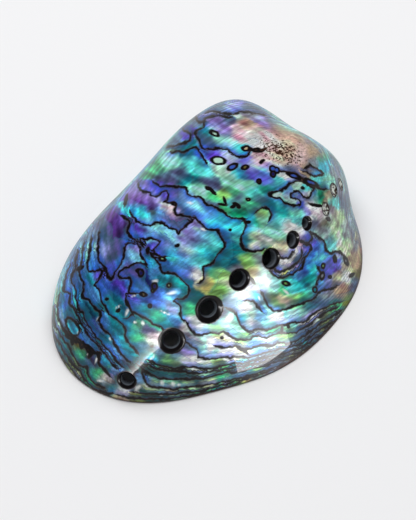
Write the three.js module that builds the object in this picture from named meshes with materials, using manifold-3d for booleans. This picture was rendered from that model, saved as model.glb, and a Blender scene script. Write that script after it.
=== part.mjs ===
// A polished abalone shell, lying on its rim with the dome up.
// Millimetres, +Z up. +X points at the spire end and -Y at the side with the row of holes.
// Directions round the shell are degrees from +X, turning towards +Y.
// A station runs over the wall: 0 at the crown outside, 1 at the outer corner of the rim,
// 2 at the inner corner of the rim and 3 at the crown inside.
import * as THREE from "three";
import { mergeVertices } from "three/addons/utils/BufferGeometryUtils.js";
import Module from "manifold-3d";

// Driving dimensions of the dome
const crownHeight = 51.5;
// How far the rim lies from the crown, every 22.5 degrees. The curve is led by these, so it runs just inside them.
const rimReach = [60, 73.5, 73.5, 59, 51, 53, 60.5, 68.5, 77, 73, 56.5, 52, 49, 48, 52, 55.5];
// Exponents of the slope in the same directions: 2 is an ellipse, less is straighter, more is boxier.
const slopeFullness = [2.7, 2, 2.8, 2.95, 2.6, 2.35, 2.15, 2.35, 2.35, 1.75, 1.5, 1.4, 1.4, 1.4, 1.55, 2.5];
const crownFullness = [2.5, 1.5, 2.4, 2.6, 2.15, 1.8, 1.75, 2, 1.25, 1.4, 1.35, 1.35, 1.4, 1.4, 1.5, 2];
// Share of the reach that comes only near the rim, which turns the foot of the slope outwards
const rimFlare = [0, 0.1, 0, 0, 0.03, 0.07, 0.06, 0, 0, 0, 0, 0.04, 0.05, 0.06, 0.09, 0.17];
const flarePower = 6;
// The crown itself is part of one ellipsoid, which fades into the slopes by this station.
const crownEllipse = { along: 76, across: 57, turn: 12 };
const crownFade = 0.6;
// The last whorl lifts the dome at the spire end.
const spireSwell = { x: 29.5, y: 5, spread: 20, up: 4.3, outX: 0.3, outY: 2.5 };

// The wall
const wallThickness = 2.8;
const crownThickness = 3.4;
const rimRound = 0.9;
// The inner lip is a broad flat shelf under the row of holes, widest in this direction.
const shelf = { width: 6.5, direction: 262, span: 75, from: 0.72 };

// Holes of the row from the front end, newest first: direction, station, radius of the ground mouth, radius of the throat
const openHoles = [
  [200.9, 0.785, 3.6, 2.3],
  [211.5, 0.615, 4.9, 3.0],
  [224.7, 0.533, 5.3, 3.2],
  [242.1, 0.466, 4.2, 2.9],
  [268.9, 0.458, 4.0, 3.1],
  [293.7, 0.472, 3.3, 2.4],
  [310.7, 0.486, 2.7, 1.6],
];
// Old holes that the animal has sealed are shallow pits: direction, station, radius.
const sealedHoles = [
  [327.3, 0.568, 2.4],
  [340.1, 0.619, 2.6],
  [346.3, 0.687, 2.3],
];
const throatDepth = 2;
const pitDepth = 0.9;
const edgeDepth = 0.35;
const mouthOverrun = 3;
const holeSides = 22;

// Relief on the dome, in millimetres away from the middle of the shell
const middle = new THREE.Vector3(0, 0, 8);
const keel = { height: 1.1, spread: 4.6, fadeFrom: 0.86 };
const tubercle = { height: 0.9, spread: 1.15 };
// Shoulders of the last whorl: direction, station, height, spread
const shoulders = [
  [1, 0.8, 1.5, 8],
  [49, 0.55, 1.6, 9],
];

// Fineness of the solid
const sides = 88;
const outerRows = 24;
const rimRows = 3;
const innerRows = 15;

const degrees = Math.PI / 180;
const smooth = (u) => u * u * (3 - 2 * u);
const clamp01 = (u) => Math.min(1, Math.max(0, u));
const bell = (distance, spread) => Math.exp(-0.5 * (distance / spread) ** 2);

// A closed smooth curve through a circle of leading values: a uniform cubic B-spline.
function around(values, direction) {
  const count = values.length;
  const turn = ((((direction / 360) % 1) + 1) % 1) * count;
  const first = Math.floor(turn);
  const f = turn - first;
  const weights = [(1 - f) ** 3, 3 * f ** 3 - 6 * f * f + 4, -3 * f ** 3 + 3 * f * f + 3 * f + 1, f ** 3];
  return weights.reduce((sum, w, i) => sum + (w / 6) * values[(first + i - 1 + count) % count], 0);
}

// Reach of the crown's ellipse in a direction
function ellipseReach(direction) {
  const a = (direction - crownEllipse.turn) * degrees;
  return 1 / Math.hypot(Math.cos(a) / crownEllipse.along, Math.sin(a) / crownEllipse.across);
}

// The bare dome at a direction and station, with the wall taken off its reach and height
function dome(direction, station, inset = 0, drop = 0) {
  const blend = smooth(clamp01(station / crownFade));
  const towards = (from, to) => from + (to - from) * blend;
  const reach = towards(ellipseReach(direction), around(rimReach, direction)) - inset;
  const fullness = towards(2, around(slopeFullness, direction));
  const height = towards(2, around(crownFullness, direction));
  const flare = around(rimFlare, direction);
  const slope = (station * Math.PI) / 2;
  const out = (1 - flare) * Math.sin(slope) ** (2 / fullness) + flare * station ** flarePower;
  const up = Math.max(0, Math.cos(slope)) ** (2 / height);
  const x = out * reach * Math.cos(direction * degrees);
  const y = out * reach * Math.sin(direction * degrees);
  const swell =
    bell(Math.hypot(x - spireSwell.x, y - spireSwell.y), spireSwell.spread) * (1 - (1 - up) ** 4);
  return new THREE.Vector3(
    x + spireSwell.outX * swell,
    y + spireSwell.outY * swell,
    (crownHeight - drop) * up + spireSwell.up * swell,
  );
}

// The row of holes as a smooth curve, cut into short steps
const rowStops = [...openHoles, ...sealedHoles];
const rowCurve = new THREE.CatmullRomCurve3(rowStops.map(([direction, station]) => dome(direction, station)));
const rowSteps = rowCurve.getSpacedPoints(80);

// Height of the relief at a point of the dome
function relief(point, station) {
  const fromRow = Math.min(...rowSteps.map((step) => step.distanceTo(point)));
  let height = keel.height * bell(fromRow, keel.spread);
  for (const [direction, at, radius] of rowStops)
    height += tubercle.height * bell(point.distanceTo(dome(direction, at)), tubercle.spread * radius);
  for (const [direction, at, rise, spread] of shoulders)
    height += rise * bell(point.distanceTo(dome(direction, at)), spread);
  return height * (1 - smooth(clamp01((station - keel.fadeFrom) / (1 - keel.fadeFrom))));
}

// The outside of the shell, with its relief and its rounded outer corner at the rim
function outside(direction, station) {
  const point = dome(direction, station);
  const away = point.clone().sub(middle).normalize();
  point.addScaledVector(away, relief(point, station));
  if (point.z < rimRound) point.sub(roundingAt(direction, point.z));
  return point;
}

// How far a corner of the rim is drawn in at a height, as a quarter circle does
function roundingAt(direction, z) {
  const up = 1 - Math.max(0, z) / rimRound;
  const depth = rimRound * (1 - Math.sqrt(1 - up * up));
  return new THREE.Vector3(Math.cos(direction * degrees), Math.sin(direction * degrees), 0).multiplyScalar(depth);
}

// The inside of the shell, from its crown (0) to the rim (1), with the shelf of the inner lip
function inside(direction, station) {
  const turn = Math.abs(((direction - shelf.direction + 540) % 360) - 180);
  const width = shelf.width * smooth(clamp01(1 - turn / shelf.span));
  const foot = smooth(clamp01((station - shelf.from) / (1 - shelf.from)));
  const point = dome(direction, station, wallThickness, crownThickness);
  const towardsCrown = new THREE.Vector3(-Math.cos(direction * degrees), -Math.sin(direction * degrees), 0);
  point.addScaledVector(towardsCrown, width * foot);
  if (point.z < rimRound) point.add(roundingAt(direction, point.z));
  return point;
}

// A point of the whole wall, for stations from 0 to 3
function wall(direction, station) {
  if (station <= 1) return outside(direction, station);
  if (station >= 2) return inside(direction, 3 - station);
  return outside(direction, 1).lerp(inside(direction, 1), station - 1);
}

// Stations of the rows of vertices, closer together towards the rim on both sides
function rowStations() {
  const stations = [];
  for (let i = 0; i <= outerRows; i++) stations.push(Math.sin((i / outerRows) * 0.5 * Math.PI) ** 0.9);
  for (let i = 1; i < rimRows; i++) stations.push(1 + i / rimRows);
  for (let i = innerRows; i >= 0; i--) stations.push(3 - Math.sin((i / innerRows) * 0.5 * Math.PI) ** 0.9);
  return stations;
}

// The wall as a closed solid: a sphere whose upper half is the outside and whose lower half is pushed up inside it
function wallGeometry() {
  const stations = rowStations();
  const sphere = new THREE.SphereGeometry(1, sides, stations.length - 1);
  const places = sphere.getAttribute("position");
  for (let row = 0; row < stations.length; row++)
    for (let side = 0; side <= sides; side++) {
      const atPole = row === 0 || row === stations.length - 1;
      const direction = atPole ? 0 : ((side % sides) / sides) * 360;
      const point = wall(direction, stations[row]);
      places.setXYZ(row * (sides + 1) + side, point.x, point.y, point.z);
    }
  return welded(sphere);
}

function welded(geometry) {
  geometry.deleteAttribute("normal");
  geometry.deleteAttribute("uv");
  return mergeVertices(geometry, 1e-4);
}

// Outward direction of the dome at a direction and station
function outward(direction, station) {
  const step = 0.01;
  const along = dome(direction + step * 50, station).sub(dome(direction - step * 50, station));
  const down = dome(direction, station + step).sub(dome(direction, station - step));
  return down.cross(along).normalize();
}

// A cutter turned from a profile of [radius, depth] pairs, standing on the shell at a place in the row
function cutter(direction, station, profile) {
  const geometry = new THREE.LatheGeometry(
    profile.map(([radius, depth]) => new THREE.Vector2(radius, -depth)),
    holeSides,
  );
  const axis = outward(direction, station);
  geometry.applyQuaternion(new THREE.Quaternion().setFromUnitVectors(new THREE.Vector3(0, 1, 0), axis));
  const seat = outside(direction, station);
  geometry.translate(seat.x, seat.y, seat.z);
  return welded(geometry);
}

// An open hole has a short upright edge, dishes down to its throat and runs on through the wall.
function holeCutter([direction, station, mouth, throat]) {
  return cutter(direction, station, [
    [0, throatDepth * 6],
    [throat, throatDepth * 6],
    [throat, throatDepth],
    [(throat + 2 * mouth) / 3, edgeDepth * 2],
    [mouth, edgeDepth],
    [mouth, -mouthOverrun],
    [0, -mouthOverrun],
  ]);
}

// A sealed hole is a shallow dish.
function pitCutter([direction, station, radius]) {
  return cutter(direction, station, [
    [0, pitDepth],
    [radius * 0.6, pitDepth * 0.85],
    [radius, edgeDepth],
    [radius, -mouthOverrun],
    [0, -mouthOverrun],
  ]);
}

const wasm = await Module();
wasm.setup();

function solidOf(geometry) {
  return new wasm.Manifold(
    new wasm.Mesh({
      numProp: 3,
      vertProperties: new Float32Array(geometry.getAttribute("position").array),
      triVerts: new Uint32Array(geometry.index.array),
    }),
  );
}

function geometryOf(solid) {
  const { vertProperties, triVerts } = solid.getMesh();
  const geometry = new THREE.BufferGeometry();
  geometry.setAttribute("position", new THREE.BufferAttribute(vertProperties, 3));
  geometry.setIndex(new THREE.BufferAttribute(triVerts, 1));
  geometry.computeVertexNormals();
  return geometry;
}

// The shell: the wall with the row of holes cut through it
function makeShell() {
  let solid = solidOf(wallGeometry());
  for (const hole of openHoles) solid = solid.subtract(solidOf(holeCutter(hole)));
  for (const pit of sealedHoles) solid = solid.subtract(solidOf(pitCutter(pit)));
  const nacre = new THREE.MeshStandardMaterial({ color: 0x2f8f9d, roughness: 0.18, metalness: 0.5 });
  const mesh = new THREE.Mesh(geometryOf(solid), nacre);
  mesh.name = "shell";
  return mesh;
}

const shell = makeShell();
// The origin is the middle of the footprint, on the surface that the shell lies on.
const extent = new THREE.Box3().setFromObject(shell);
const footprint = extent.getCenter(new THREE.Vector3());
shell.position.set(-footprint.x, -footprint.y, -extent.min.z);

const part = new THREE.Group();
part.add(shell);
export default part;
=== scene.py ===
# %% [markdown]
# # A polished abalone shell
# The shell lies on its rim with the dome up. It grew as one piece, so it is one mesh here as well: the
# dome, the rim, the hollow underneath and the row of holes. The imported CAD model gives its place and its
# size.

# %% Load the frame
from math import cos, pi, radians, sin
import bpy
import numpy as np
from mathutils import Matrix, Vector, noise


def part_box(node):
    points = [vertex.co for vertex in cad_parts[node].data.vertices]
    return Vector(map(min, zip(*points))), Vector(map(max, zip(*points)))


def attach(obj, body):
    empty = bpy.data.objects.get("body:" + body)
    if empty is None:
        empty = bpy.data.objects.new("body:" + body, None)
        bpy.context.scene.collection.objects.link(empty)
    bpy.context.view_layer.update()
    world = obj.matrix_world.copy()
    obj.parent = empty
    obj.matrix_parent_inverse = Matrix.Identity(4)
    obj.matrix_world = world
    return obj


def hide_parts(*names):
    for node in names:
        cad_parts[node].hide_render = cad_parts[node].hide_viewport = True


MM = 0.001
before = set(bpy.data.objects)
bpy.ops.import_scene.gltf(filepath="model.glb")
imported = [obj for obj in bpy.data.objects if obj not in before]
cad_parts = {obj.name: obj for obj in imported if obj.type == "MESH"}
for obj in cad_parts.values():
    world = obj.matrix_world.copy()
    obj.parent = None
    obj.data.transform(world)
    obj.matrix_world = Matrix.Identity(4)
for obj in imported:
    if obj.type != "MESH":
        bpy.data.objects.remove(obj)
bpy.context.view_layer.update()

# %% [markdown]
# ## The camera
# The photograph was taken from above the left front, with a long lens, so that the shell is hardly
# distorted. The same few values also tell where a point of the surface is in the photograph. The pattern
# needs that later.

# %% Place the camera
PHOTO_WIDTH, PHOTO_HEIGHT = 416, 520
CAMERA_TURN, CAMERA_RISE = radians(-37.5), radians(50)
CAMERA_DISTANCE = 0.8
PIXELS_PER_METRE = 2614
SENSOR = 36
# The camera aims at this place under the crown, and the photograph shows it at this pixel
AIM = Vector((4.4, -3.0, 15)) * MM
AIM_PIXEL = (224.9, 248.9)
to_right = Vector((cos(CAMERA_TURN), sin(CAMERA_TURN), 0))
level = cos(CAMERA_RISE)
to_camera = Vector((sin(CAMERA_TURN) * level, -cos(CAMERA_TURN) * level, sin(CAMERA_RISE)))
to_top = to_camera.cross(to_right)

camera_data = bpy.data.cameras.new("camera")
camera_data.sensor_width = SENSOR
camera_data.lens = SENSOR * PIXELS_PER_METRE * CAMERA_DISTANCE / PHOTO_HEIGHT
camera_data.shift_x = (PHOTO_WIDTH / 2 - AIM_PIXEL[0]) / PHOTO_HEIGHT
camera_data.shift_y = (AIM_PIXEL[1] - PHOTO_HEIGHT / 2) / PHOTO_HEIGHT
camera = bpy.data.objects.new("camera", camera_data)
bpy.context.scene.collection.objects.link(camera)
turn = Matrix((to_right, to_top, to_camera)).transposed().to_4x4()
camera.matrix_world = Matrix.Translation(AIM + CAMERA_DISTANCE * to_camera) @ turn
bpy.context.scene.camera = camera


def in_photo(places):
    """The pixel of the photograph that each place, a row of x, y, z in metres, is seen at."""
    offset = places - np.array(AIM)
    scale = PIXELS_PER_METRE * CAMERA_DISTANCE / (CAMERA_DISTANCE - offset @ np.array(to_camera))
    across = AIM_PIXEL[0] + scale * (offset @ np.array(to_right))
    down = AIM_PIXEL[1] - scale * (offset @ np.array(to_top))
    return np.column_stack((across, down))


print("lens:", round(camera_data.lens, 1), "mm")

# %% [markdown]
# ## The dome
# An abalone is a flat spiral whose last turn is nearly the whole shell. Seen from above, its rim is a
# lopsided oval, full in front and narrower at the spire. A UV sphere has the same layout as the shell: its
# upper rings become the outside, its lowest rings the rim and the hollow. Every ring is a contour of the
# shell, and it gets its place from sixteen values round the rim, so the form stays smooth and is easy to
# change.

# %% Describe the outline and the slopes, in millimetres and degrees
CROWN_HEIGHT = 51.5
RIM_REACH = [60, 73.5, 73.5, 59, 51, 53, 60.5, 68.5, 77, 73, 56.5, 52, 49, 48, 52, 55.5]
# An exponent of 2 makes a slope round as an ellipse, and a higher one makes it fuller
ELLIPSE = 2
SLOPE_FULLNESS = [2.7, 2, 2.8, 2.95, 2.6, 2.35, 2.15, 2.35, 2.35, 1.75, 1.5, 1.4, 1.4, 1.4, 1.55, 2.5]
CROWN_FULLNESS = [2.5, 1.5, 2.4, 2.6, 2.15, 1.8, 1.75, 2, 1.25, 1.4, 1.35, 1.35, 1.4, 1.4, 1.5, 2]
RIM_FLARE = [0, 0.1, 0, 0, 0.03, 0.07, 0.06, 0, 0, 0, 0, 0.04, 0.05, 0.06, 0.09, 0.17]
FLARE_POWER = 6
CROWN_ALONG, CROWN_ACROSS, CROWN_TURN, CROWN_FADE = 76, 57, 12, 0.6
SPIRE_PLACE, SPIRE_SPREAD, SPIRE_UP, SPIRE_OUT, SPIRE_FADE = (29.5, 5), 20, 4.3, (0.3, 2.5), 4
WALL, CROWN_WALL, RIM_ROUND = 2.8, 3.4, 0.9
SHELF_WIDTH, SHELF_DIRECTION, SHELF_SPAN, SHELF_FROM = 6.5, 262, 75, 0.72


def rise(value, start, end):
    """Goes smoothly from 0 to 1 while value goes from start to end."""
    share = np.clip((value - start) / (end - start), 0, 1)
    return share * share * (3 - 2 * share)


def bell(distance, spread):
    return np.exp(-0.5 * (distance / spread) ** 2)


def around(values, direction):
    """A smooth closed curve through the values, which are spaced evenly round the shell."""
    place = (np.asarray(direction) % 360) / 360 * len(values)
    first = np.floor(place).astype(int)
    f = place - first
    weights = ((1 - f) ** 3, 3 * f**3 - 6 * f**2 + 4, -3 * f**3 + 3 * f**2 + 3 * f + 1, f**3)
    table = np.array(values, float)
    return sum(w * table[(first + i - 1) % len(values)] for i, w in enumerate(weights)) / 6


print("height of the crown:", CROWN_HEIGHT, "mm")


# %% Shape the dome
def dome(direction, station, inset=0.0, drop=0.0):
    """A point of the smooth dome in millimetres: station 0 is the crown and station 1 the rim."""
    angle = np.radians(direction)
    tilt = np.radians(np.asarray(direction) - CROWN_TURN)
    oval = 1 / np.hypot(np.cos(tilt) / CROWN_ALONG, np.sin(tilt) / CROWN_ACROSS)
    blend = rise(station, 0, CROWN_FADE)
    reach = oval + (around(RIM_REACH, direction) - oval) * blend - inset
    full = ELLIPSE + (around(SLOPE_FULLNESS, direction) - ELLIPSE) * blend
    high = ELLIPSE + (around(CROWN_FULLNESS, direction) - ELLIPSE) * blend
    flare = around(RIM_FLARE, direction)
    slope = station * pi / 2
    out = ((1 - flare) * np.sin(slope) ** (2 / full) + flare * station**FLARE_POWER) * reach
    up = np.maximum(0, np.cos(slope)) ** (2 / high)
    x, y = out * np.cos(angle), out * np.sin(angle)
    to_spire = np.hypot(x - SPIRE_PLACE[0], y - SPIRE_PLACE[1])
    swell = bell(to_spire, SPIRE_SPREAD) * (1 - (1 - up) ** SPIRE_FADE)
    z = (CROWN_HEIGHT - drop) * up + SPIRE_UP * swell
    return np.stack((x + SPIRE_OUT[0] * swell, y + SPIRE_OUT[1] * swell, z), axis=-1)


print("crown:", dome(0.0, 0.0).round(1), "mm")

# %% [markdown]
# ## The row of holes
# The animal breathes out through the newest holes and seals the old ones as it grows. A low keel runs along
# the row, each hole has a small raised collar, and grinding has opened every mouth to a shallow dish. The
# keel and the collars are bells of height round a curve and round points, so they melt into the dome.

# %% Describe the row of holes, in millimetres
# Direction, station, mouth radius and throat radius, the newest first. A sealed hole has no throat.
HOLES = [
    (200.9, 0.785, 3.6, 2.3), (211.5, 0.615, 4.9, 3.0), (224.7, 0.533, 5.3, 3.2), (242.1, 0.466, 4.2, 2.9),
    (268.9, 0.458, 4.0, 3.1), (293.7, 0.472, 3.3, 2.4), (310.7, 0.486, 2.7, 1.6),
    (327.3, 0.568, 2.4, 0), (340.1, 0.619, 2.6, 0), (346.3, 0.687, 2.3, 0),
]
KEEL_HEIGHT, KEEL_SPREAD, RELIEF_FADE = 1.1, 4.6, 0.86
COLLAR_HEIGHT, COLLAR_SPREAD = 0.9, 1.15
# Direction, station, height and spread of the two blunt shoulders at the spire end
SHOULDERS = [(1, 0.8, 1.5, 8), (49, 0.55, 1.6, 9)]
MIDDLE = np.array((0, 0, 8.0))
ROW_STEPS = 80
seats = np.array([dome(direction, station) for direction, station, _, _ in HOLES])


def row_curve():
    """Evenly numbered points of a Catmull-Rom curve through the seats of the holes."""
    ends = np.vstack((2 * seats[0] - seats[1], seats, 2 * seats[-1] - seats[-2]))
    points = []
    for step in range(ROW_STEPS + 1):
        place = step / ROW_STEPS * (len(seats) - 1)
        i = min(int(place), len(seats) - 2)
        t = place - i
        a, b, c, d = ends[i : i + 4]
        bend = (2 * a - 5 * b + 4 * c - d) * t**2 + (3 * b - a - 3 * c + d) * t**3
        points.append(0.5 * (2 * b + (c - a) * t + bend))
    return np.array(points)


row_points = row_curve()
print("holes:", len(HOLES), "sealed:", sum(throat == 0 for *_, throat in HOLES))


# %% Raise the keel and hollow the inside
def relief(points, station):
    """How far the keel, the collars and the shoulders stand out, in millimetres."""
    to_row = np.min(np.linalg.norm(points[:, None] - row_points[None], axis=2), axis=1)
    height = KEEL_HEIGHT * bell(to_row, KEEL_SPREAD)
    for (_, _, radius, _), seat in zip(HOLES, seats):
        height = height + COLLAR_HEIGHT * bell(np.linalg.norm(points - seat, axis=1), COLLAR_SPREAD * radius)
    for direction, where, stand, spread in SHOULDERS:
        height = height + stand * bell(np.linalg.norm(points - dome(direction, where), axis=1), spread)
    return height * (1 - rise(station, RELIEF_FADE, 1))


def outside(direction, station):
    points = dome(direction, station)
    away = points - MIDDLE
    away /= np.linalg.norm(away, axis=1, keepdims=True)
    return points + away * relief(points, station)[:, None]


def draw_in(points, length):
    """Moves every point level towards the axis of the dome."""
    flat = points * (1, 1, 0)
    reach = np.maximum(np.linalg.norm(flat, axis=1, keepdims=True), 1e-6)
    return points - flat / reach * length[:, None]


def inside(direction, station):
    """The hollow, with the broad flat lip that an abalone has under its row of holes."""
    turn_away = np.abs((direction - SHELF_DIRECTION + 180) % 360 - 180)
    width = SHELF_WIDTH * rise(turn_away, SHELF_SPAN, 0)
    foot = rise(station, SHELF_FROM, 1)
    return draw_in(dome(direction, station, WALL, CROWN_WALL), width * foot)


def rounding(points, side):
    """Pulls the corner of the rim in by a quarter circle; side is 1 outside and -1 inside."""
    low = np.clip(1 - points[:, 2] / RIM_ROUND, 0, 1)
    return draw_in(points, RIM_ROUND * (1 - np.sqrt(1 - low**2)) * side)


print("wall:", WALL, "mm, at the crown:", CROWN_WALL, "mm")

# %% Shape a sphere into the shell
SIDES = 540
OUTER_ROWS, RIM_ROWS, INNER_ROWS = 148, 3, 18
ROWS = OUTER_ROWS + RIM_ROWS + INNER_ROWS


def wall_point(direction, row):
    """The place of every vertex: its direction and its row, counted from the crown down, in and up."""
    outer = rounding(outside(direction, np.minimum(row / OUTER_ROWS, 1)), 1)
    inner = rounding(inside(direction, np.minimum((ROWS - row) / INNER_ROWS, 1)), -1)
    return outer + (inner - outer) * np.clip((row - OUTER_ROWS) / RIM_ROWS, 0, 1)[:, None]


def select_only(*pieces):
    bpy.ops.object.select_all(action="DESELECT")
    for piece in pieces:
        piece.select_set(True)
    bpy.context.view_layer.objects.active = pieces[-1]


def read_vectors(mesh, name):
    flat = np.empty(len(mesh.vertices) * 3)
    mesh.vertices.foreach_get(name, flat)
    return flat.reshape(-1, 3)


bpy.ops.object.select_all(action="DESELECT")
bpy.ops.mesh.primitive_uv_sphere_add(segments=SIDES, ring_count=ROWS, radius=1)
shell = bpy.context.object
shell.name = "shell.polished"
ball = read_vectors(shell.data, "co")
row = np.round(np.arccos(np.clip(ball[:, 2], -1, 1)) / pi * ROWS)
body = wall_point(np.degrees(np.arctan2(ball[:, 1], ball[:, 0])), row) * MM
# The formulas have their axis under the crown, and the frame has its own in the middle of the shell
middle_of_cad = (np.array(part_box("shell")[0]) + np.array(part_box("shell")[1])) / 2
shift = (middle_of_cad - (body.min(axis=0) + body.max(axis=0)) / 2) * (1, 1, 0)
shell.data.vertices.foreach_set("co", (body + shift).ravel())
shell.data.update()
print("crown in the frame:", shift.round(5), "triangles:", 2 * SIDES * (ROWS - 1))

# %% [markdown]
# Each hole is cut with a plug that is modelled like a turned pin: a circle is extruded along its axis, and
# every step changes its width. The plugs are joined and taken out of the shell in one Boolean, so the walls
# of the holes are real and light falls through them.

# %% Turn the plugs
# Depths below the surface, in millimetres
THROAT_DEPTH, THROAT_FLARE, PIT_DEPTH, EDGE_DEPTH, OVERRUN, DRILL_LENGTH = 2, 0.5, 0.9, 0.35, 3, 12
PLUG_SIDES = 64


def plug_profile(mouth, throat):
    """Radius and depth below the surface at every step of a plug, from the deep end up."""
    if throat == 0:
        return [
            (0.3 * mouth, PIT_DEPTH), (0.6 * mouth, 0.85 * PIT_DEPTH), (0.88 * mouth, 0.6 * PIT_DEPTH),
            (mouth, EDGE_DEPTH), (1.1 * mouth, -OVERRUN),
        ]
    return [
        (throat, DRILL_LENGTH), (throat, THROAT_DEPTH + THROAT_FLARE), (throat * 1.03, THROAT_DEPTH),
        ((2 * throat + mouth) / 3, 1.15), ((throat + 2 * mouth) / 3, 0.7), (mouth * 0.97, 0.42),
        (mouth, EDGE_DEPTH - 0.2), (mouth * 1.05, -0.1), (mouth * 1.15, -OVERRUN),
    ]


def outward(direction, station):
    """The direction straight out of the dome, from one small step along it and one down."""
    turn_step, down_step = 0.06, 0.001
    along = dome(direction + turn_step, station) - dome(direction - turn_step, station)
    down = dome(direction, station + down_step) - dome(direction, station - down_step)
    normal = np.cross(down, along)
    return normal / np.linalg.norm(normal)


def add_plug(seat, axis, profile):
    radius, depth = profile[0]
    turn = Vector(axis).to_track_quat("Z", "Y")
    start = Vector(seat) - Vector(axis) * depth * MM
    bpy.ops.mesh.primitive_circle_add(
        vertices=PLUG_SIDES, radius=radius * MM, fill_type="NGON", location=start, rotation=turn.to_euler()
    )
    bpy.ops.object.mode_set(mode="EDIT")
    bpy.ops.mesh.select_all(action="SELECT")
    for wide, deep in profile[1:]:
        move = Vector(axis) * (depth - deep) * MM
        bpy.ops.mesh.extrude_region_move(TRANSFORM_OT_translate={"value": move})
        centre = Vector(seat) - Vector(axis) * deep * MM
        bpy.ops.transform.resize(value=(wide / radius,) * 3, center_override=centre)
        radius, depth = wide, deep
    bpy.ops.mesh.select_all(action="SELECT")
    bpy.ops.mesh.normals_make_consistent(inside=False)
    bpy.ops.object.mode_set(mode="OBJECT")
    return bpy.context.object


hole_frames = []
plugs = []
for direction, station, mouth, throat in HOLES:
    seat = outside(np.array([direction]), np.array([station]))[0] * MM + shift
    axis = outward(direction, station)
    plugs.append(add_plug(seat, axis, plug_profile(mouth, throat)))
    hole_frames.append((seat, axis, mouth, throat))
print("plugs:", len(plugs))

# %% Cut the holes
select_only(*plugs)
bpy.ops.object.join()
plug = bpy.context.object
bpy.ops.object.transform_apply(location=True, rotation=True, scale=True)
select_only(shell)
cut = shell.modifiers.new("holes", "BOOLEAN")
cut.operation = "DIFFERENCE"
cut.solver = "MANIFOLD"
cut.object = plug
bpy.ops.object.modifier_apply(modifier=cut.name)
bpy.data.objects.remove(plug)
bpy.ops.object.mode_set(mode="EDIT")
bpy.ops.mesh.select_all(action="SELECT")
bpy.ops.mesh.remove_doubles(threshold=0.01 * MM)
bpy.ops.mesh.quads_convert_to_tris()
bpy.ops.mesh.normals_make_consistent(inside=False)
bpy.ops.object.mode_set(mode="OBJECT")
bpy.ops.object.shade_smooth_by_angle(angle=radians(50))
print("triangles after the cut:", len(shell.data.polygons))
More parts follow.
